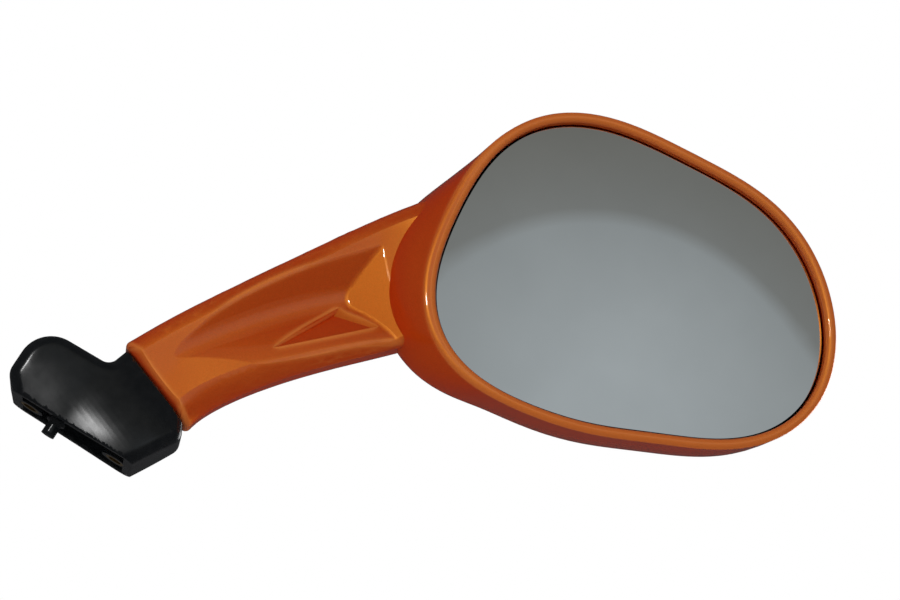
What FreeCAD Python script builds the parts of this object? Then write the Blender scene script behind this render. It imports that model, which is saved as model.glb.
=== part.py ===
import FreeCAD, Part
import math
import os

# Motorcycle mirror. Sizes in millimetres. The foot stands on the plane Z = 0 with the middle of
# its face at the origin. X points outboard, Y forward and Z up, so the glass looks along -Y.

V = FreeCAD.Vector

# Head outline: a mean radius with waves given as (count, height, phase in degrees)
head_x = 139.5
head_z = 147.5
mean_radius = 66.8
outline_waves = ((2, 9.5, 12.6), (3, 3.4, 5.8), (4, 1.1, -29.0), (5, 1.05, 1.3), (6, 0.46, -12.9))
outline_points = 36

# Bowl
rim_y = -24.0
crown_y = 24.0
rim_width = 3.8
rim_depth = 4.6
rim_round = 1.7
wall = 2.6
dome_radius = 200.0
dome_round = 13.0
arm_side = 206.0
swell_spread = 51.0
bowl_sections = ((rim_y, 0.0, 0.0), (-12.0, 0.8, 13.0), (2.0, 2.0, 19.0), (crown_y + 2.0, 8.0, 6.0))

# Swivel joint between foot and arm, heights along its axis counted from the arm's end face
joint_x = 15.95
joint_z = 28.35
joint_tilt = 21.0
joint_gap = 0.4
running_gap = 0.05
fit_gap = 0.01
arm_end_width = 37.2
stud_radius = 3.0
stud_depth = 24.0
stud_end = 16.0
anchor_radius = 5.5
anchor_height = 4.0
bush_radius = 4.5
flange_radius = 8.0
flange_height = 1.2
neck_wall = 5.0
washer_radius = 7.5
washer_height = 1.2
disc_radius = 7.0
disc_height = 1.1
disc_thickness = 0.7
nut_flats = 10.0
nut_height = 5.0

# Foot
foot_reach = 50.0
foot_wall = 3.0
foot_round = 4.5
neck_inset = 2.2
neck_depth = 21.0
belly_depth = 30.0
belly_height = -22.0
base_depth = 26.0
base_height = -46.0
foot_base = ((-24.5, 0.0), (24.3, 0.0))
foot_heel = (33.9, 16.8)
heel_round = 4.5
foot_elbow = (-1.6, 26.0)
elbow_round = 4.0
foot_toe = ((-29.3, 25.0), (-29.3, 5.0))
toe_rounds = (12.0, 6.0)
bolt_spacing = 35.0
bolt_radius = 2.5
insert_radius = 3.6
insert_height = 9.0
boss_radius = 5.2
boss_height = 10.5
rib = 2.4
peg_x = -7.0
peg_radius = 2.5
peg_root = 3.5
peg_height = 5.0

# Arm: each section after the joint has its upper and lower edge (x, z), its front and back (y) and
# the rounding of its lower front edge
arm_front = -12.5
arm_back = 12.5
front_sink = 0.3
joint_low_round = 9.0
arm_sections = (
    ((13.8, 64.4), (44.1, 44.9), arm_front, arm_back, 8.0),
    ((30.9, 93.1), (62.5, 67.6), arm_front, arm_back, 6.0),
    ((49.2, 122.9), (76.6, 82.4), arm_front, 11.5, 5.0),
    ((68.0, 144.0), (97.0, 103.0), -20.0, 4.0, 5.0),
)
crest_round = 6.0
arm_back_round = 10.0
arm_end_round = 2.0
end_roll_round = 4.5

# Scoop in the arm's front: a funnel (x, z) over a rolled floor that starts along a line
scoop_mouth = ((10.6, 34.7), (56.4, 115.3), (84.0, 84.0), (58.0, 60.0))
scoop_bow = (28.0, 77.6)
scoop_apex = (53.5, 89.0)
scoop_depth = 7.5
scoop_tip = ((-4.0, -6.0), (0.0, 0.0), (5.0, -4.0), (1.0, -8.0))
roll_line = ((16.5, 27.5), (49.5, 53.4))
roll_lift = 0.4
valley_round = 12.0
scoop_round = 3.5
mouth_round = 2.5

# Facet in the lower side of the scoop: rim and floor corners (x, z, depth)
facet_rim = ((42.8, 61.2, 0.6), (55.2, 88.0, 5.8), (70.6, 89.0, 2.2))
facet_floor = ((44.6, 63.2, 1.5), (55.2, 84.8, 7.0), (68.6, 87.4, 3.2))

# Glass, its carrier and the ball it tilts on
glass_gap = 0.8
glass_recess = 5.0
glass_radius = 1200.0
glass_thickness = 2.0
pad_thickness = 0.8
pad_inset = 4.0
carrier_inset = 0.6
carrier_edge = 1.8
carrier_rib = 4.0
ball_y = -8.0
ball_radius = 6.0
ball_flat = 4.6
cup_wall = 1.5
cup_front = 4.4
cup_back = 3.9
socket_wall = 1.75
socket_back = 4.2
socket_slits = 6
slit = 1.6
clip_radius = 0.7
stem_radius = 3.4
stem_foot = 6.0
plate_y = 8.0
plate_radius = 19.0
plate_thickness = 3.0
screw_circle = 14.0
screw_count = 3
screw_radius = 1.5
screw_length = 10.5
screw_head_radius = 3.1
screw_head_height = 2.3
screw_boss_radius = 4.6

joint = V(joint_x, 0, joint_z)
tilt = math.radians(joint_tilt)
axis = V(math.sin(tilt), 0, math.cos(tilt))
across = V(math.cos(tilt), 0, -math.sin(tilt))
head = V(head_x, 0, head_z)


def outline_point(degrees, y, inset, swell=0.0):
    """Point of the head outline, moved in by inset and out towards the arm by swell."""
    angle = math.radians(degrees)
    radius = mean_radius
    slope = 0.0
    for count, height, phase in outline_waves:
        turn = count * (angle - math.radians(phase))
        radius += height * math.cos(turn)
        slope -= count * height * math.sin(turn)
    c = math.cos(angle)
    s = math.sin(angle)
    outward = V(slope * s + radius * c, 0, radius * s - slope * c).normalize()
    away = abs((degrees - arm_side + 180) % 360 - 180) / swell_spread
    lobe = math.cos(math.pi / 2 * min(1.0, away)) ** 2
    return head + V(radius * c, y, radius * s) + outward * (swell * lobe - inset)


def outline_wire(y, inset, swell=0.0):
    """Closed head outline at depth y."""
    step = 360.0 / outline_points
    points = [outline_point(i * step, y, inset, swell) for i in range(outline_points)]
    curve = Part.BSplineCurve()
    curve.interpolate(Points=points, PeriodicFlag=True)
    return Part.Wire(curve.toShape())


def outline_block(y_front, y_back, inset):
    """Straight-sided block with the head outline."""
    return Part.Face(outline_wire(y_front, inset)).extrude(V(0, y_back - y_front, 0))


def dome(inset):
    """Large ball that shapes the rear of the bowl."""
    return Part.makeSphere(dome_radius - inset, head + V(0, crown_y - dome_radius, 0))


def edges_where(shape, test):
    """Edges whose sampled points all pass the test."""
    found = []
    for edge in shape.Edges:
        first, last = edge.ParameterRange
        samples = [edge.valueAt(first + (last - first) * i / 4.0) for i in range(5)]
        if all(test(p) for p in samples):
            found.append(edge)
    return found


def shared_edges(shape, first, second):
    """Edges of a shape that run where the skins of two other shapes meet."""
    def on(skin, p):
        return min(Part.Vertex(p).distToShape(face)[0] for face in skin.Faces) < 0.001

    return edges_where(shape, lambda p: on(first, p) and on(second, p))


def dome_edges(shape, inset):
    """Edges where the dome meets the sides."""
    middle = head + V(0, crown_y - dome_radius, 0)
    size = dome_radius - inset
    return edges_where(shape, lambda p: abs(p.distanceToPoint(middle) - size) < 0.01)


def bowl():
    """Outside of the head with its rounded rear and rim."""
    shell = Part.makeLoft([outline_wire(*s) for s in bowl_sections], True, False)
    shell = shell.common(dome(0))
    shell = shell.makeFillet(dome_round, dome_edges(shell, 0))
    front = edges_where(shell, lambda p: abs(p.y - rim_y) < 0.01)
    return shell.makeFillet(rim_round, front)


def arm_edges():
    """Edges, front, back and lower rounding of every arm section, starting at the joint."""
    half = across * (arm_end_width / 2)
    found = [(joint - half, joint + half, arm_front, arm_back, joint_low_round)]
    for top, bottom, *form in arm_sections:
        found.append((V(top[0], 0, top[1]), V(bottom[0], 0, bottom[1]), *form))
    return found


def arm_section(top, bottom, front, back, low_round):
    """Rounded rectangle between an upper and a lower edge point, with a sunk front."""
    along = (bottom - top).normalize()
    width = bottom.distanceToPoint(top)
    corners = (
        (0, front, 1, 1, crest_round),
        (width, front, -1, 1, low_round),
        (width, back, -1, -1, arm_back_round),
        (0, back, 1, -1, arm_back_round),
    )

    def at(w, y):
        return top + along * w + V(0, y, 0)

    arcs = []
    for i, (w, y, inwards, deeper, r) in enumerate(corners):
        on_side = at(w, y + deeper * r)
        on_face = at(w + inwards * r, y)
        k = r * (1 - math.sqrt(0.5))
        middle = at(w + inwards * k, y + deeper * k)
        arcs.append((on_side, middle, on_face) if i % 2 == 0 else (on_face, middle, on_side))
    edges = []
    for i in range(4):
        start = arcs[i][2]
        stop = arcs[(i + 1) % 4][0]
        edges.append(Part.Arc(*arcs[i]).toShape())
        if i == 0:
            edges.append(Part.Arc(start, (start + stop) / 2 + V(0, front_sink, 0), stop).toShape())
        else:
            edges.append(Part.makeLine(start, stop))
    return Part.Wire(edges)


def front_point(x, z, depth=0.0):
    """Point a given depth under the arm's front."""
    return V(x, arm_front + depth, z)


def closed_wire(points, bow=None):
    """Closed polygon, its first edge bowed through a point if one is given."""
    edges = [Part.makeLine(points[i - 1], points[i]) for i in range(1, len(points))]
    if bow is not None:
        edges[0] = Part.Arc(points[0], bow, points[1]).toShape()
    return Part.Wire(edges + [Part.makeLine(points[-1], points[0])])


def end_roll():
    """Cutter that rolls the arm's front over towards the joint."""
    r = end_roll_round
    length = 2 * arm_end_width
    start = joint - across * arm_end_width
    corners = ((-1, arm_front - r), (r, arm_front - r), (r, arm_front + r), (-1, arm_front + r))
    outline = closed_wire([start + axis * t + V(0, y, 0) for t, y in corners])
    roll = Part.makeCylinder(r, length, start + axis * r + V(0, arm_front + r, 0), across)
    return Part.Face(outline).extrude(across * length).cut(roll)


def scoop():
    """Cutter for the hollow in the arm's front."""
    deeper = 1.25
    higher = 1.5
    rim = [front_point(*place) for place in scoop_mouth]
    apex = front_point(*scoop_apex, scoop_depth)
    tip = rim[1] + (apex - rim[1]) * deeper
    floor = [tip + V(x, 0, z) for x, z in scoop_tip]
    mouth = [r + (r - f) * higher for r, f in zip(rim, floor)]
    bow = front_point(*scoop_bow)
    bow = bow + (bow - (floor[0] + floor[1]) / 2) * higher
    funnel = Part.makeLoft([closed_wire(mouth, bow), closed_wire(floor)], True, True)
    cut = funnel.cut(floor_roll(apex))
    deep = arm_front + 1
    valley = [e for e in cut.Edges if e.BoundBox.YMax > deep and e.BoundBox.XMin < scoop_bow[0]]
    cut = cut.makeFillet(valley_round, valley)
    rest = [e for e in cut.Edges if e.BoundBox.YMax > deep and e.BoundBox.XMin > scoop_bow[0]]
    return cut.makeFillet(scoop_round, [e for e in rest if e.BoundBox.XMax > scoop_apex[0] + scoop_round])


def floor_roll(apex):
    """Large cylinder that the scoop's floor follows, from its crown down to the deepest point."""
    start, stop = [front_point(x, z, -roll_lift) for x, z in roll_line]
    along = (stop - start).normalize()
    out = apex - start
    out = out - along * out.dot(along)
    radius = out.dot(out) / (2 * out.y)
    length = 4 * stop.distanceToPoint(start)
    return Part.makeCylinder(radius, length, start - along * (length / 3) + V(0, radius, 0), along)


def facet():
    """Cutter for the three-sided facet in the scoop."""
    higher = 1.5
    rim = [front_point(*corner) for corner in facet_rim]
    floor = [front_point(*corner) for corner in facet_floor]
    mouth = [r + (r - f) * higher for r, f in zip(rim, floor)]
    return Part.makeLoft([closed_wire(mouth), closed_wire(floor)], True, True)


def arm():
    """Arm with its scoop, running into the bowl."""
    beam = Part.makeLoft([arm_section(*s) for s in arm_edges()], True, False)
    end = edges_where(beam, lambda p: abs((p - joint).dot(axis)) < 0.01)
    beam = beam.makeFillet(arm_end_round, end).cut(end_roll())
    cutter = scoop()
    cut = beam.cut(cutter)
    return cut.makeFillet(mouth_round, shared_edges(cut, beam, cutter)).cut(facet())


def hollow():
    """Room inside the bowl, behind the lip of its rim."""
    sections = [outline_wire(y, inset + wall) for y, inset, _ in bowl_sections]
    room = Part.makeLoft(sections, True, False).common(dome(wall))
    room = room.makeFillet(dome_round - wall, dome_edges(room, wall))
    return room.common(Part.makeBox(400, 100, 400, V(-50, rim_y + rim_depth, -50)))


def rod(radius, low, high):
    """Cylinder on the swivel axis between two heights."""
    return Part.makeCylinder(radius, high - low, joint + axis * low, axis)


def tube(inner, outer, low, high):
    """Ring on the swivel axis between two heights."""
    return rod(outer, low, high).cut(rod(inner, low - 1, high + 1))


def screw_places():
    """Middles of the ball plate's screws on its front face."""
    step = 360.0 / screw_count
    turns = [math.radians(90 + i * step) for i in range(screw_count)]
    return [head + V(screw_circle * math.cos(t), plate_y, screw_circle * math.sin(t)) for t in turns]


def along_y(radius, start, length):
    """Cylinder towards the rear of the bowl."""
    return Part.makeCylinder(radius, length, start, V(0, 1, 0))


def housing():
    """Painted moulding of arm and bowl."""
    opening = outline_block(rim_y - 5, rim_y + rim_depth + 1, rim_width)
    room = hollow()
    body = bowl().cut(room).cut(opening)
    lip = edges_where(body, lambda p: abs(p.y - rim_y) < 0.01)
    body = body.makeFillet(rim_round, lip).fuse(arm().cut(room).cut(opening))
    for place in screw_places():
        seat = place + V(0, plate_thickness, 0)
        boss = along_y(screw_boss_radius, seat, crown_y - wall / 2 - seat.y)
        body = body.fuse(boss.common(dome(wall / 2)))
        body = body.cut(along_y(screw_radius + fit_gap, place, screw_length + 1))
    return body.cut(stud_shape(fit_gap))


def stud_shape(grow):
    """Stud with its anchor disc, grown for the seat in the arm."""
    anchor = rod(anchor_radius + grow, stud_depth - anchor_height, stud_depth + grow)
    return rod(stud_radius + grow, -stud_end, stud_depth).fuse(anchor)


def pivot_stud():
    """Steel stud moulded into the arm."""
    return stud_shape(0.0)


def pivot_bush():
    """Flanged bush in the neck; the arm turns on its flange."""
    bore = stud_radius + running_gap
    under = -running_gap - flange_height
    flange = tube(bore, flange_radius, under, -running_gap)
    return flange.fuse(tube(bore, bush_radius, -joint_gap - neck_wall, under))


def washer_top():
    """Height of the thrust washer's upper face."""
    return -joint_gap - neck_wall - running_gap


def thrust_washer():
    """Flat washer under the neck wall."""
    return tube(stud_radius + running_gap, washer_radius, washer_top() - washer_height, washer_top())


def disc_spring(top, upward):
    """One coned spring ring."""
    inner = stud_radius + 4 * running_gap
    rise = disc_height - disc_thickness
    shift = (0.0, -rise) if upward else (-rise, 0.0)
    base = top - running_gap / 2
    profile = []
    for radius, drop in ((inner, shift[0]), (disc_radius, shift[1])):
        profile.append(joint + across * radius + axis * (base + drop))
    profile.append(profile[1] - axis * disc_thickness)
    profile.append(profile[0] - axis * disc_thickness)
    ring = Part.Face(Part.makePolygon(profile + profile[:1]))
    return ring.revolve(joint, axis, 360)


def spring_top():
    """Height of the upper disc spring's top."""
    return washer_top() - washer_height


def disc_springs():
    """Two disc springs, face to face."""
    upper = disc_spring(spring_top(), False)
    lower = disc_spring(spring_top() - disc_height, True)
    return Part.makeCompound([upper, lower])


def pivot_nut():
    """Hexagon nut on the stud."""
    top = spring_top() - 2 * disc_height - running_gap
    radius = nut_flats / math.sqrt(3)
    points = []
    for i in range(7):
        turn = math.radians(60 * i)
        side = across * (radius * math.cos(turn)) + V(0, radius * math.sin(turn), 0)
        points.append(joint + axis * top + side)
    block = Part.Face(Part.makePolygon(points)).extrude(axis * -nut_height)
    return block.cut(rod(stud_radius + fit_gap, top - nut_height - 1, top + 1))


def rounded_wire(corners):
    """Closed outline through (x, z, radius) corners in the plane Y = 0."""
    edges = []
    ends = []
    for i, (x, z, r) in enumerate(corners):
        here = V(x, 0, z)
        before = corners[i - 1]
        after = corners[(i + 1) % len(corners)]
        back = (V(before[0], 0, before[1]) - here).normalize()
        forth = (V(after[0], 0, after[1]) - here).normalize()
        half = back.getAngle(forth) / 2
        reach = r / math.tan(half)
        first = here + back * reach
        last = here + forth * reach
        ends.append((first, last))
        if r > 0:
            inward = (back + forth).normalize()
            middle = here + inward * (r / math.sin(half) - r)
            edges.append(Part.Arc(first, middle, last).toShape())
    lines = []
    for i, pair in enumerate(ends):
        lines.append(Part.makeLine(pair[1], ends[(i + 1) % len(ends)][0]))
    return Part.Wire(Part.__sortEdges__(edges + lines))


def foot_block(inset, bottom, top):
    """Elbow of the foot: its front outline with barrel-shaped sides."""
    reach = foot_reach
    half = arm_end_width / 2 - neck_inset
    neck = [joint + across * side + axis * top for side in (half, -half)]
    left, right = foot_base
    heel_slope = (foot_heel[0] - right[0]) / (foot_heel[1] - right[1])
    toe_slope = (foot_toe[1][0] - left[0]) / (foot_toe[1][1] - left[1])
    corners = [
        (left[0] + bottom * toe_slope, bottom, 0),
        (right[0] + bottom * heel_slope, bottom, 0),
        foot_heel + (heel_round,),
        (neck[0].x, neck[0].z, 0),
        (neck[1].x, neck[1].z, 0),
        foot_elbow + (elbow_round,),
        foot_toe[0] + (toe_rounds[0],),
        foot_toe[1] + (toe_rounds[1],),
    ]
    face = Part.Face(rounded_wire(corners))
    if inset > 0:
        face = face.makeOffset2D(-inset)
    sizes = ((neck_depth, 0.0), (belly_depth, belly_height), (base_depth, base_height))
    start = joint - across * reach
    front, back = [[start + V(0, s * (d / 2 - inset), 0) + axis * t for d, t in sizes] for s in (-1, 1)]
    side = Part.Wire([
        Part.Arc(*front).toShape(),
        Part.makeLine(front[2], back[2]),
        Part.Arc(*back[::-1]).toShape(),
        Part.makeLine(back[0], front[0]),
    ])
    barrel = Part.Face(side).extrude(across * (2 * reach))
    return face.extrude(V(0, reach, 0)).translated(V(0, -reach / 2, 0)).common(barrel)


def foot_shell():
    """Outside of the foot with its rounded front and back edges."""
    block = foot_block(0.0, 0.0, -joint_gap)
    edges = edges_where(block, lambda p: abs(p.y) > neck_depth / 2 - 0.5)
    ends = edges_where(block, lambda p: p.z < 0.01 or (p - joint).dot(axis) > -joint_gap - 0.01)
    edges = [e for e in edges if not any(e.isSame(other) for other in ends)]
    return block.makeFillet(foot_round, edges)


def upright(x, radius, low, high):
    """Vertical cylinder in the foot's middle plane."""
    return Part.makeCylinder(radius, high - low, V(x, 0, low))


def bolt_places():
    """Where the bolts enter the foot."""
    return (-bolt_spacing / 2, bolt_spacing / 2)


def mount_foot():
    """Hollow elbow with insert bosses, ribs, neck wall and locating peg."""
    reach = foot_reach
    outside = foot_shell()
    room = foot_block(foot_wall, -2 * foot_wall, -joint_gap)
    under = joint - axis * (joint_gap + neck_wall)
    lid = Part.makeCylinder(100, 100, under, axis)
    room = room.cut(lid)
    foot = outside.cut(room)
    filling = []
    for x in bolt_places():
        filling.append(upright(x, boss_radius, 0, boss_height))
        filling.append(Part.makeBox(rib, reach, boss_height - rib, V(x - rib / 2, -reach / 2, rib)))
    filling.append(Part.makeBox(rib, reach, reach, V(peg_x - rib / 2, -reach / 2, rib)))
    filling.append(upright(peg_x, peg_root, 0, reach))
    for piece in filling:
        foot = foot.fuse(piece.common(outside))
    foot = foot.fuse(upright(peg_x, peg_radius, -peg_height, 1.0))
    for x in bolt_places():
        foot = foot.cut(upright(x, insert_radius + fit_gap, -1, insert_height + fit_gap))
    recess = -running_gap - flange_height - fit_gap
    foot = foot.cut(rod(flange_radius + 10 * fit_gap, recess, 1))
    return foot.cut(rod(bush_radius + fit_gap, -joint_gap - neck_wall - 1, 1)).removeSplitter()


def mount_inserts():
    """Two threaded inserts in the foot."""
    pieces = []
    for x in bolt_places():
        bore = upright(x, bolt_radius, -1, insert_height + 1)
        pieces.append(upright(x, insert_radius, 0, insert_height).cut(bore))
    return Part.makeCompound(pieces)


def ball_middle():
    """Point that the glass tilts about."""
    return V(head_x, ball_y, head_z)


def ball_mount():
    """Plate with a stem and a ball, flattened at its front."""
    middle = ball_middle()
    ball = Part.makeSphere(ball_radius, middle)
    trim = along_y(2 * ball_radius, middle - V(0, ball_flat, 0), 4 * ball_radius)
    half = (plate_y - ball_y) / 2
    stem = Part.makeCone(stem_radius, stem_foot, half, middle + V(0, half, 0), V(0, 1, 0))
    stem = stem.fuse(along_y(stem_radius, middle, half))
    plate = along_y(plate_radius, V(head_x, plate_y, head_z), plate_thickness)
    plate = plate.makeFillet(plate_thickness / 4, plate.Edges[:1])
    mount = ball.common(trim).fuse(stem).fuse(plate)
    for place in screw_places():
        mount = mount.cut(along_y(screw_radius + 6 * running_gap, place - V(0, 1, 0), plate_thickness + 2))
    return mount


def ball_mount_screws():
    """Pan-head screws of the ball plate."""
    screws = []
    for place in screw_places():
        head_top = place - V(0, screw_head_height, 0)
        cap = along_y(screw_head_radius, head_top, screw_head_height)
        crown = [e for e in cap.Edges if e.BoundBox.YMax < head_top.y + 0.01]
        cap = cap.makeFillet(screw_head_height / 2, crown)
        slot = Part.makeBox(4 * screw_radius, screw_head_height, screw_radius / 2)
        slot.translate(head_top - V(2 * screw_radius, screw_head_height / 2, screw_radius / 4))
        screws.append(cap.fuse(along_y(screw_radius, place, screw_length)).cut(slot))
    return Part.makeCompound(screws)


def zone(inner, outer, front, back):
    """Part of a hollow ball about the tilt point, between two depths."""
    middle = ball_middle()
    shell = Part.makeSphere(outer, middle).cut(Part.makeSphere(inner, middle))
    return shell.common(along_y(2 * outer, middle - V(0, front, 0), front + back))


def ball_cup():
    """Split liner between ball and socket."""
    inner = ball_radius + running_gap
    ring = zone(inner, inner + cup_wall, cup_front, cup_back)
    cut = Part.makeBox(slit / 2, 40, 20, ball_middle() + V(-slit / 4, -20, 0))
    return ring.cut(cut)


def socket_inner():
    """Inside radius of the carrier's socket."""
    return ball_radius + cup_wall + 3 * running_gap


def skin(depth):
    """Ball surface that lies the given depth behind the front of the glass."""
    edge = outline_point(0, 0, rim_width + glass_gap) - head
    reach = edge.Length
    bulge = glass_radius - math.sqrt(glass_radius ** 2 - reach ** 2)
    front = rim_y + glass_recess - bulge
    return Part.makeSphere(glass_radius - depth, V(head_x, front + glass_radius, head_z))


def layer(inset, near, far):
    """Sheet with the glass outline between two depths behind the glass front."""
    block = outline_block(rim_y - 5, rim_y + 25, rim_width + glass_gap + inset)
    return block.common(skin(near)).cut(skin(far))


def mirror_glass():
    """Convex mirror glass."""
    return layer(0.0, 0.0, glass_thickness)


def glass_pad():
    """Foam pad that holds the glass."""
    return layer(pad_inset, glass_thickness, glass_thickness + pad_thickness)


def carrier_back():
    """Depth of the carrier's flat rear face."""
    return rim_y + glass_recess + glass_thickness + pad_thickness + carrier_edge


def glass_carrier():
    """Plate behind the glass with ribs and a slit socket."""
    back = carrier_back()
    plate = outline_block(rim_y - 5, back, rim_width + glass_gap + carrier_inset)
    plate = plate.common(skin(glass_thickness + pad_thickness))
    outer = socket_inner() + socket_wall
    socket_end = ball_y + socket_back
    for turn in range(0, 180, 60):
        web = Part.makeBox(400, carrier_rib, rib, V(-200, back, -rib / 2))
        web.rotate(V(0, 0, 0), V(0, 1, 0), turn + 30)
        web.translate(V(head_x, 0, head_z))
        inside = outline_block(back, back + carrier_rib, rim_width + glass_gap + 6 * rib)
        plate = plate.fuse(web.common(inside))
    plate = plate.fuse(along_y(outer, V(head_x, back, head_z), socket_end - back))
    plate = plate.cut(Part.makeSphere(socket_inner(), ball_middle(), V(0, 1, 0)))
    for i in range(socket_slits):
        cut = Part.makeBox(outer + 1, 40, slit, V(0, back + carrier_rib, -slit / 2))
        cut.rotate(V(0, 0, 0), V(0, 1, 0), i * 360.0 / socket_slits)
        cut.translate(V(head_x, 0, head_z))
        plate = plate.cut(cut)
    return plate.cut(clip_ring(clip_radius + 2 * running_gap))


def clip_ring(radius):
    """Full ring in the groove around the socket."""
    middle = V(head_x, ball_y + socket_back - 2 * clip_radius, head_z)
    return Part.makeTorus(socket_inner() + socket_wall, radius, middle, V(0, 1, 0))


def socket_clip():
    """Open spring-wire ring."""
    ring = clip_ring(clip_radius)
    return ring.cut(Part.makeBox(40, 40, 3 * slit, V(head_x, ball_y - 20, head_z - 1.5 * slit)))


makers = (
    mount_foot, mount_inserts, pivot_bush, housing, pivot_stud, thrust_washer, disc_springs, pivot_nut,
    ball_mount, ball_mount_screws, ball_cup, glass_carrier, socket_clip, glass_pad, mirror_glass,
)

os.makedirs("parts", exist_ok=True)
for make in makers:
    make().exportStep("parts/" + make.__name__ + ".step")
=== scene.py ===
import math

import bmesh
import bpy
from mathutils import Matrix, Vector


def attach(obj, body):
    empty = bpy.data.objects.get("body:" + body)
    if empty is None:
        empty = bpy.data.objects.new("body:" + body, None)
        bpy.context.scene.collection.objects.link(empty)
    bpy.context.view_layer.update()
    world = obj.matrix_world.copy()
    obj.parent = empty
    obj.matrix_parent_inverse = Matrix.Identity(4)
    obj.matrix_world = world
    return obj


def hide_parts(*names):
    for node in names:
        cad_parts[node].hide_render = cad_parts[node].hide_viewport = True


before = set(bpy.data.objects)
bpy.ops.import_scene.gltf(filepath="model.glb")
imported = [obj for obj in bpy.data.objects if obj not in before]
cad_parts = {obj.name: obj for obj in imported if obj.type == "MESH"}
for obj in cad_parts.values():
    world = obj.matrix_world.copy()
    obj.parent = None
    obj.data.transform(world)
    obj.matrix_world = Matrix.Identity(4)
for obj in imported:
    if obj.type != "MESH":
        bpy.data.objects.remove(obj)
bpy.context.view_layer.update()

# Camera: looks along +Y from below, rolled; metres, degrees, and millimetres for lens and sensor
camera_target = Vector((0.0873, -0.0303, 0.1056))
camera_distance = 0.9
camera_below = 16.0
camera_roll = 32.0
camera_lens = 102.86
camera_sensor = 36.0

# Light: each lamp's place, size in metres and power in watts; one point to aim at; the world's level
lamps = {
    "flash": ((-0.32, -0.86, 0.075), 0.05, 1.5),
    "rear_soft": ((1.0, 0.8, 0.5), 0.7, 5.0),
}
lamp_aim = (0.10, 0.0, 0.12)
ambient_level = 0.7

# Floor
floor_height = -0.32
floor_reach = 3.0
floor_roughness = 0.9
floor_glow = 0.5
floor_grain = 2
floor_shades = ((0.84, 0.84, 0.84), (0.88, 0.88, 0.88))

# Dark room and lit wall, which only reflections show; the wall has a soft oval, shaded by share of its reach
room_reach = (2.5, 2.2, 2.2)
room_lift = 0.01
room_shade = (0.05, 0.05, 0.052)
wall_middle = (0.25, -1.5, 0.6)
wall_size = (1.8, 1.5)
oval_middle = (0.35, 0.38)
oval_reach = (0.66, 0.63)
oval_shades = (
    (0.20, (0.375, 0.405, 0.420)),
    (0.64, (0.285, 0.306, 0.312)),
    (0.69, (0.200, 0.206, 0.200)),
    (0.97, (0.150, 0.148, 0.135)),
)

# Paint: red ground and golden flakes; grain of colour and wander of roughness in cells per metre
flake_share = 0.32
flake_tint = (0.8, 0.12, 0.01)
flake_shades = ((0.88, 0.36, 0.035), (0.98, 0.44, 0.05))
flake_roughness = (0.41, 0.45)
flake_grain = 3000
flake_wander = 40
ground_shades = ((0.50, 0.005, 0.0002), (0.58, 0.008, 0.0003))
ground_roughness = (0.45, 0.55)
ground_grain = 1500
ground_wander = 60
paint_detail = 2
coat_roughness = 0.05

# Painted highlight on rounded edges, as gold mixed into the paint's ground colour: how far the mask looks
# into the wall, and the gold's share by the room it finds there
painted_highlight_gold = (1.0, 0.36, 0.09)
painted_highlight_reach = 0.0024
painted_highlight_samples = 24
painted_highlight_shares = ((0.70, 0.0), (0.82, 0.4), (0.92, 0.4), (0.98, 0.0))

# Glass: two shades and two roughnesses of its faint smears, and their cells per metre
glass_shades = ((0.80, 0.82, 0.82), (0.86, 0.88, 0.88))
glass_roughness = (0.01, 0.03)
glass_grain = 25
glass_wander = 60

# Plain finishes: two shades, two roughnesses, grain in cells per metre, and how metallic; the roughness
# wanders with this share of the grain
plain_wander = 0.4
plain_finishes = {
    "black_plastic": (((0.004, 0.005, 0.006), (0.007, 0.008, 0.009)), (0.18, 0.26), 300, 0.0),
    "inner_black": (((0.012, 0.012, 0.013), (0.018, 0.018, 0.019)), (0.4, 0.55), 400, 0.0),
    "natural_plastic": (((0.72, 0.70, 0.64), (0.80, 0.78, 0.72)), (0.35, 0.5), 300, 0.0),
    "plated_steel": (((0.52, 0.52, 0.53), (0.62, 0.62, 0.63)), (0.25, 0.4), 500, 1.0),
    "spring_steel": (((0.2, 0.2, 0.21), (0.28, 0.28, 0.29)), (0.3, 0.45), 500, 1.0),
    "brass": (((0.6, 0.42, 0.16), (0.7, 0.5, 0.22)), (0.25, 0.4), 500, 1.0),
    "foam": (((0.03, 0.03, 0.03), (0.05, 0.05, 0.05)), (0.8, 0.95), 900, 0.0),
}
plain_nodes = {
    "black_plastic": ("mount_foot",),
    "inner_black": ("ball_mount", "glass_carrier"),
    "natural_plastic": ("pivot_bush", "ball_cup"),
    "plated_steel": ("pivot_stud", "thrust_washer", "pivot_nut", "ball_mount_screws"),
    "spring_steel": ("disc_springs", "socket_clip"),
    "brass": ("mount_inserts",),
    "foam": ("glass_pad",),
}

# Noise runs over this span of its values
noise_span = (0.3, 0.7)

# Crown of the foot's front and back: middle (x, z), reach, height, the depths between which it sets in,
# and how finely the foot is divided for it
crown_middle = (0.024, 0.012)
crown_reach = 0.030
crown_height = 0.0026
crown_depths = (0.006, 0.009)
crown_grain = 0.0020
crown_rounds = 6
weld_distance = 1e-6
sharp_angle = 32.0


def add_camera():
    """Camera at the photograph's viewing angle."""
    below = math.radians(camera_below)
    roll = math.radians(camera_roll)
    forward = Vector((0, math.cos(below), math.sin(below)))
    level = Vector((1, 0, 0))
    upright = Vector((0, -math.sin(below), math.cos(below)))
    right = level * math.cos(roll) + upright * math.sin(roll)
    up = upright * math.cos(roll) - level * math.sin(roll)
    data = bpy.data.cameras.new("camera")
    data.lens = camera_lens
    data.sensor_width = camera_sensor
    camera = bpy.data.objects.new("camera", data)
    turn = Matrix((right, up, -forward)).transposed().to_4x4()
    camera.matrix_world = Matrix.Translation(camera_target - forward * camera_distance) @ turn
    bpy.context.scene.collection.objects.link(camera)
    bpy.context.scene.camera = camera


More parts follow.
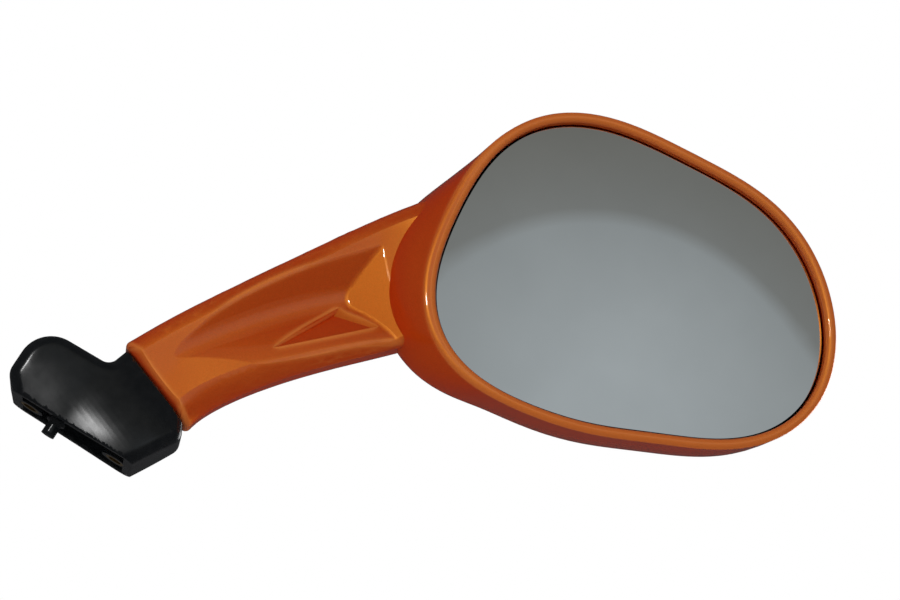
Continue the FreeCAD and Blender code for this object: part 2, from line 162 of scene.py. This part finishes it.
def new_material(name):
    """Material with its node tree and its main shader."""
    material = bpy.data.materials.new(name)
    material.use_nodes = True
    return material, material.node_tree, material.node_tree.nodes["Principled BSDF"]


def add_noise(tree, scale, detail=3.0):
    """Noise in the object's own space; scale in cells per metre."""
    place = tree.nodes.new("ShaderNodeTexCoord")
    noise = tree.nodes.new("ShaderNodeTexNoise")
    noise.inputs["Scale"].default_value = scale
    noise.inputs["Detail"].default_value = detail
    tree.links.new(place.outputs["Object"], noise.inputs["Vector"])
    return noise.outputs["Fac"]


def add_ramp(tree, factor, stops):
    """Colour that runs through the stops as the factor grows; a new stop is placed after it is made."""
    ramp = tree.nodes.new("ShaderNodeValToRGB")
    elements = ramp.color_ramp.elements
    while len(elements) < len(stops):
        elements.new(0.5)
    for element, (position, colour) in zip(elements, stops):
        element.position = position
        element.color = colour + (1,)
    tree.links.new(factor, ramp.inputs["Fac"])
    return ramp.outputs["Color"]


def vary_colour(tree, shader, factor, shades):
    """Base colour that wanders between two shades."""
    colour = add_ramp(tree, factor, tuple(zip(noise_span, shades)))
    tree.links.new(colour, shader.inputs["Base Color"])
    return colour


def vary_roughness(tree, shader, factor, roughness):
    """Roughness that wanders between two values."""
    spread = tree.nodes.new("ShaderNodeMapRange")
    spread.inputs["From Min"].default_value, spread.inputs["From Max"].default_value = noise_span
    spread.inputs["To Min"].default_value, spread.inputs["To Max"].default_value = roughness
    tree.links.new(factor, spread.inputs["Value"])
    tree.links.new(spread.outputs["Result"], shader.inputs["Roughness"])


def plain_material(name, shades, roughness, grain, metallic):
    """Material with wandering colour and roughness."""
    material, tree, shader = new_material(name)
    shader.inputs["Metallic"].default_value = metallic
    vary_colour(tree, shader, add_noise(tree, grain), shades)
    vary_roughness(tree, shader, add_noise(tree, grain * plain_wander), roughness)
    return material


def mix_colour(tree, factor, first, second):
    """Blend of a colour socket with a plain colour; the node's sockets 6 and 7 are its two colours."""
    mix = tree.nodes.new("ShaderNodeMix")
    mix.data_type = "RGBA"
    mix.inputs[7].default_value = second + (1,)
    tree.links.new(factor, mix.inputs[0])
    tree.links.new(first, mix.inputs[6])
    return mix.outputs[2]


def add_painted_highlight_mask(tree):
    """Share of the painted highlight: most on rounded outer edges, less on thin lips, nought on flats and in
    hollows.
    """
    inside = tree.nodes.new("ShaderNodeAmbientOcclusion")
    inside.inside = True
    inside.only_local = True
    inside.samples = painted_highlight_samples
    inside.inputs["Distance"].default_value = painted_highlight_reach
    stops = [(position, (share, share, share)) for position, share in painted_highlight_shares]
    return add_ramp(tree, inside.outputs["AO"], stops)


def paint_material():
    """Pearl paint: golden flakes over a deep red ground, both under clear coat; the ground's colour carries
    a painted golden highlight on rounded outer edges.
    """
    material, tree, ground = new_material("pearl_paint_with_painted_highlight")
    flakes = tree.nodes.new("ShaderNodeBsdfPrincipled")
    mix = tree.nodes.new("ShaderNodeMixShader")
    mix.inputs["Fac"].default_value = flake_share
    for shader in (ground, flakes):
        shader.inputs["Coat Weight"].default_value = 1.0
        shader.inputs["Coat Roughness"].default_value = coat_roughness
    ground.inputs["Specular IOR Level"].default_value = 0.0
    flakes.inputs["Metallic"].default_value = 1.0
    flakes.inputs["Specular Tint"].default_value = flake_tint + (1,)
    red = vary_colour(tree, ground, add_noise(tree, ground_grain, paint_detail), ground_shades)
    # Painted highlight: gold mixed into the red ground's colour on rounded outer edges
    golden = mix_colour(tree, add_painted_highlight_mask(tree), red, painted_highlight_gold)
    tree.links.new(golden, ground.inputs["Base Color"])
    vary_colour(tree, flakes, add_noise(tree, flake_grain, paint_detail), flake_shades)
    vary_roughness(tree, ground, add_noise(tree, ground_wander), ground_roughness)
    vary_roughness(tree, flakes, add_noise(tree, flake_wander), flake_roughness)
    tree.links.new(ground.outputs["BSDF"], mix.inputs[1])
    tree.links.new(flakes.outputs["BSDF"], mix.inputs[2])
    tree.links.new(mix.outputs["Shader"], tree.nodes["Material Output"].inputs["Surface"])
    return material


def mirror_material():
    """Silvered glass with faint smears."""
    material, tree, shader = new_material("silvered_glass")
    shader.inputs["Metallic"].default_value = 1.0
    vary_colour(tree, shader, add_noise(tree, glass_grain), glass_shades)
    vary_roughness(tree, shader, add_noise(tree, glass_wander), glass_roughness)
    return material


def add_world():
    """White surround for the camera, in gloss and through glass; soft grey light on the object."""
    world = bpy.data.worlds.new("studio")
    bpy.context.scene.world = world
    world.use_nodes = True
    tree = world.node_tree
    shader = tree.nodes["Background"]
    path = tree.nodes.new("ShaderNodeLightPath")
    seen = path.outputs["Is Camera Ray"]
    for ray in ("Is Glossy Ray", "Is Transmission Ray"):
        either = tree.nodes.new("ShaderNodeMath")
        either.operation = "MAXIMUM"
        tree.links.new(seen, either.inputs[0])
        tree.links.new(path.outputs[ray], either.inputs[1])
        seen = either.outputs["Value"]
    level = tree.nodes.new("ShaderNodeMapRange")
    level.inputs["To Min"].default_value = ambient_level
    level.inputs["To Max"].default_value = 1.0
    tree.links.new(seen, level.inputs["Value"])
    tree.links.new(level.outputs["Result"], shader.inputs["Strength"])
    shader.inputs["Color"].default_value = (1, 1, 1, 1)


def add_lamp(name, place, size, power):
    """Square lamp that points at the object."""
    data = bpy.data.lights.new(name, "AREA")
    data.size = size
    data.energy = power
    lamp = bpy.data.objects.new(name, data)
    lamp.location = place
    lamp.rotation_euler = (Vector(lamp_aim) - Vector(place)).to_track_quat("-Z", "Y").to_euler()
    bpy.context.scene.collection.objects.link(lamp)


def add_sheet(name, corners, faces, material):
    """Piece of the studio made of flat faces."""
    mesh = bpy.data.meshes.new(name)
    mesh.from_pydata(corners, [], faces)
    mesh.materials.append(material)
    sheet = bpy.data.objects.new(name, mesh)
    bpy.context.scene.collection.objects.link(sheet)
    return sheet


def show_in_gloss_only(sheet):
    """Leave a piece of the studio to reflections."""
    sheet.visible_camera = False
    sheet.visible_diffuse = False
    sheet.visible_shadow = False


def floor_material():
    """Pale floor that keeps soft shadows."""
    material, tree, shader = new_material("pale_floor")
    shader.inputs["Roughness"].default_value = floor_roughness
    shader.inputs["Emission Color"].default_value = (1, 1, 1, 1)
    path = tree.nodes.new("ShaderNodeLightPath")
    level = tree.nodes.new("ShaderNodeMapRange")
    level.inputs["To Max"].default_value = floor_glow
    tree.links.new(path.outputs["Is Camera Ray"], level.inputs["Value"])
    tree.links.new(level.outputs["Result"], shader.inputs["Emission Strength"])
    vary_colour(tree, shader, add_noise(tree, floor_grain), floor_shades)
    return material


def glow_material(name, colour):
    """Material that shines by itself, with its node tree and its shader."""
    material = bpy.data.materials.new(name)
    material.use_nodes = True
    tree = material.node_tree
    tree.nodes.clear()
    glow = tree.nodes.new("ShaderNodeEmission")
    glow.inputs["Color"].default_value = colour + (1,)
    output = tree.nodes.new("ShaderNodeOutputMaterial")
    tree.links.new(glow.outputs["Emission"], output.inputs["Surface"])
    return material, tree, glow


def oval_material():
    """Lit wall: a soft-edged light oval that fades into a darker surround."""
    material, tree, glow = glow_material("lit_wall", oval_shades[0][1])
    place = tree.nodes.new("ShaderNodeTexCoord")
    fit = tree.nodes.new("ShaderNodeMapping")
    wide, high = oval_reach
    fit.inputs["Location"].default_value = (-oval_middle[0] / wide, 0, -oval_middle[1] / high)
    fit.inputs["Scale"].default_value = (1 / wide, 0, 1 / high)
    length = tree.nodes.new("ShaderNodeVectorMath")
    length.operation = "LENGTH"
    tree.links.new(place.outputs["Object"], fit.inputs["Vector"])
    tree.links.new(fit.outputs["Vector"], length.inputs[0])
    tree.links.new(add_ramp(tree, length.outputs["Value"], oval_shades), glow.inputs["Color"])
    return material


def add_floor():
    """Pale floor below the object."""
    x, z = floor_reach, floor_height
    add_sheet("floor", ((-x, -x, z), (x, -x, z), (x, x, z), (-x, x, z)), ((0, 1, 2, 3),), floor_material())


def add_dark_room():
    """Closed dark room around the object, for reflections."""
    x, y, top = room_reach
    corners = [(i, j, k) for k in (floor_height + room_lift, top) for j in (-y, y) for i in (-x, x)]
    faces = ((0, 1, 3, 2), (4, 5, 7, 6), (0, 1, 5, 4), (2, 3, 7, 6), (0, 2, 6, 4), (1, 3, 7, 5))
    show_in_gloss_only(add_sheet("dark_room", corners, faces, glow_material("dark_wall", room_shade)[0]))


def add_lit_wall():
    """Lit wall in front of the glass, for reflections."""
    x, y, z = wall_middle
    wide, high = wall_size[0] / 2, wall_size[1] / 2
    corners = [(x + i * wide, y, z + k * high) for i, k in ((-1, -1), (1, -1), (1, 1), (-1, 1))]
    show_in_gloss_only(add_sheet("lit_wall", corners, ((0, 1, 2, 3),), oval_material()))


def smooth_step(value, low, high):
    """Nought below low, one above high, and smooth between."""
    t = min(1.0, max(0.0, (value - low) / (high - low)))
    return t * t * (3 - 2 * t)


def crown_rise(x, z):
    """Height of the foot's crown at a place on its front."""
    share = math.hypot(x - crown_middle[0], z - crown_middle[1]) / crown_reach
    return crown_height * max(0.0, 1 - share * share) ** 2


def crowned_foot():
    """Foot as shown: a copy of the solid whose front and back swell gently, as the moulding's do."""
    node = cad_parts["mount_foot"]
    mesh = node.data.copy()
    mesh.transform(node.matrix_world)
    cells = bmesh.new()
    cells.from_mesh(mesh)
    bmesh.ops.remove_doubles(cells, verts=cells.verts, dist=weld_distance)
    for _ in range(crown_rounds):
        long = [edge for edge in cells.edges if edge.calc_length() > crown_grain]
        bmesh.ops.subdivide_edges(cells, edges=long, cuts=1)
        bmesh.ops.triangulate(cells, faces=cells.faces)
    for vertex in cells.verts:
        x, y, z = vertex.co
        rise = crown_rise(x, z) * smooth_step(abs(y), *crown_depths)
        vertex.co.y = y + math.copysign(rise, y)
    cells.to_mesh(mesh)
    cells.free()
    mesh.set_sharp_from_angle(angle=math.radians(sharp_angle))
    foot = bpy.data.objects.new("crowned_foot", mesh)
    bpy.context.scene.collection.objects.link(foot)
    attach(foot, "foot")
    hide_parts("mount_foot")
    return foot


def paint_piece(piece, material):
    """One material all over a piece."""
    piece.data.materials.clear()
    piece.data.materials.append(material)


def dress():
    """Materials on every piece."""
    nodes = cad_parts
    paint_piece(nodes["housing"], paint_material())
    paint_piece(nodes["mirror_glass"], mirror_material())
    for name, form in plain_finishes.items():
        material = plain_material(name, *form)
        for node in plain_nodes[name]:
            paint_piece(nodes[node], material)
    paint_piece(crowned_foot(), nodes["mount_foot"].data.materials[0])


add_camera()
add_world()
add_floor()
add_dark_room()
add_lit_wall()
for name, form in lamps.items():
    add_lamp(name, *form)
dress()

bpy.context.scene.view_settings.view_transform = "Standard"
